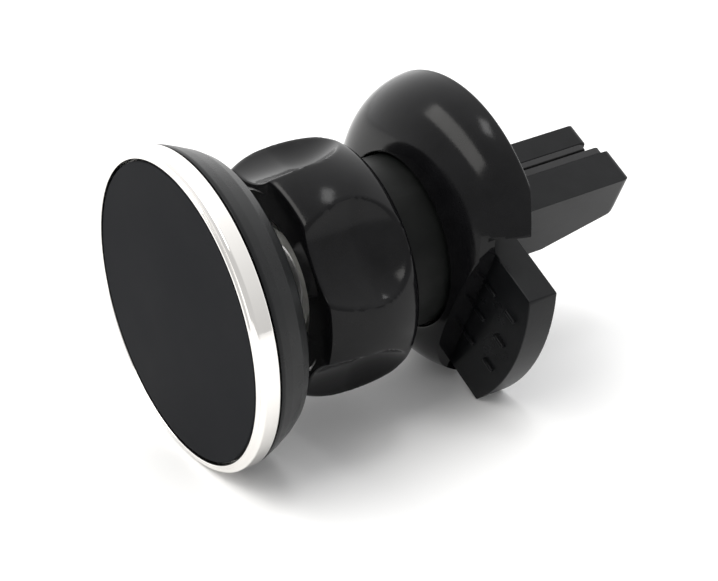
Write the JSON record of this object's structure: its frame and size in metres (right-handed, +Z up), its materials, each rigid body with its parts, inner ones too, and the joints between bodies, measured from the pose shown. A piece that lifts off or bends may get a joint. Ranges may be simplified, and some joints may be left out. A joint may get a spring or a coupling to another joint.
{
  "type": "phone mount",
  "caption": "Magnetic phone mount lying on its side: round pad head with a polished ring on a ball joint, lobed lock nut, bell-shaped housing, side trigger and vent-clip jaws.",
  "frame": {"origin": "centre of the bounding box's underside, on the floor the mount lies on", "axes": "+Y along the mount from the pad face to the tips of the clip, +Z up; the trigger points to +X and down"},
  "size_m": [0.0414, 0.0634, 0.0399],
  "materials": {
    "grip_pad": "matte",
    "bezel_ring": "polished",
    "head_shell": "gloss",
    "lock_nut": "gloss",
    "bell_housing": "gloss",
    "socket_neck": "satin",
    "trigger_lever": "satin",
    "jaw_pad": "matte",
    "ball_liner": "satin",
    "magnet_tray": "matte",
    "steel": "satin",
    "magnet": "polished"
  },
  "bodies": {
    "base": {"socket_neck": "socket_neck", "bell_housing": "bell_housing", "rear_cover": "socket_neck", "cover_screw_1": "steel", "cover_screw_2": "steel", "cover_screw_3": "steel", "fixed_jaw": "trigger_lever", "fixed_jaw_pad": "jaw_pad", "pivot_pin": "steel", "trigger_spring": "steel"},
    "front_bearing": {"liner_ring": "ball_liner"},
    "rear_bearing": {"seat_cup": "ball_liner"},
    "head": {"grip_pad": "grip_pad", "bezel_ring": "bezel_ring", "magnet_tray": "magnet_tray", "magnet_1": "magnet", "magnet_2": "magnet", "magnet_3": "magnet", "yoke_plate": "steel", "head_screw_1": "steel", "head_screw_2": "steel", "head_screw_3": "steel", "head_shell": "head_shell", "ball_stud": "steel"},
    "slip": {"slip_ring": "ball_liner"},
    "nut": {"lock_nut": "lock_nut"},
    "trigger": {"trigger_lever": "trigger_lever", "moving_jaw_pad": "jaw_pad"}
  },
  "joints": [
    {"name": "head_tilt_a", "type": "hinge", "parent": "base", "child": "front_bearing", "pos_m": [-0.0008, -0.01304, 0.01994], "axis": [0.8805, 0, -0.4741], "range_deg": [-14, 14]},
    {"name": "head_tilt_b", "type": "hinge", "parent": "front_bearing", "child": "rear_bearing", "pos_m": [-0.0008, -0.01304, 0.01994], "axis": [-0.4741, 0, -0.8805], "range_deg": [-14, 14]},
    {"name": "head_spin", "type": "hinge", "parent": "rear_bearing", "child": "head", "pos_m": [-0.0008, -0.01304, 0.01994], "axis": [0, 1, 0], "continuous": true},
    {"name": "nut_travel", "type": "slide", "parent": "base", "child": "slip", "axis": [0, -1, 0], "range_m": [0, 0.0005]},
    {"name": "nut_turn", "type": "hinge", "parent": "slip", "child": "nut", "pos_m": [-0.0008, -0.01874, 0.01994], "axis": [0, -1, 0], "range_deg": [0, 120]},
    {"name": "trigger_hinge", "type": "hinge", "parent": "base", "child": "trigger", "pos_m": [-0.00432, 0.00546, 0.02184], "axis": [0.4741, 0, 0.8805], "range_deg": [0, 16], "stiffness_Nm_per_rad": 0.15, "springref_deg": -17.19, "deforming": ["trigger_spring"]}
  ],
  "couplings": [
    {"joint": "nut_travel", "follows": "nut_turn", "m_per_rad": 0.00023873}
  ]
}
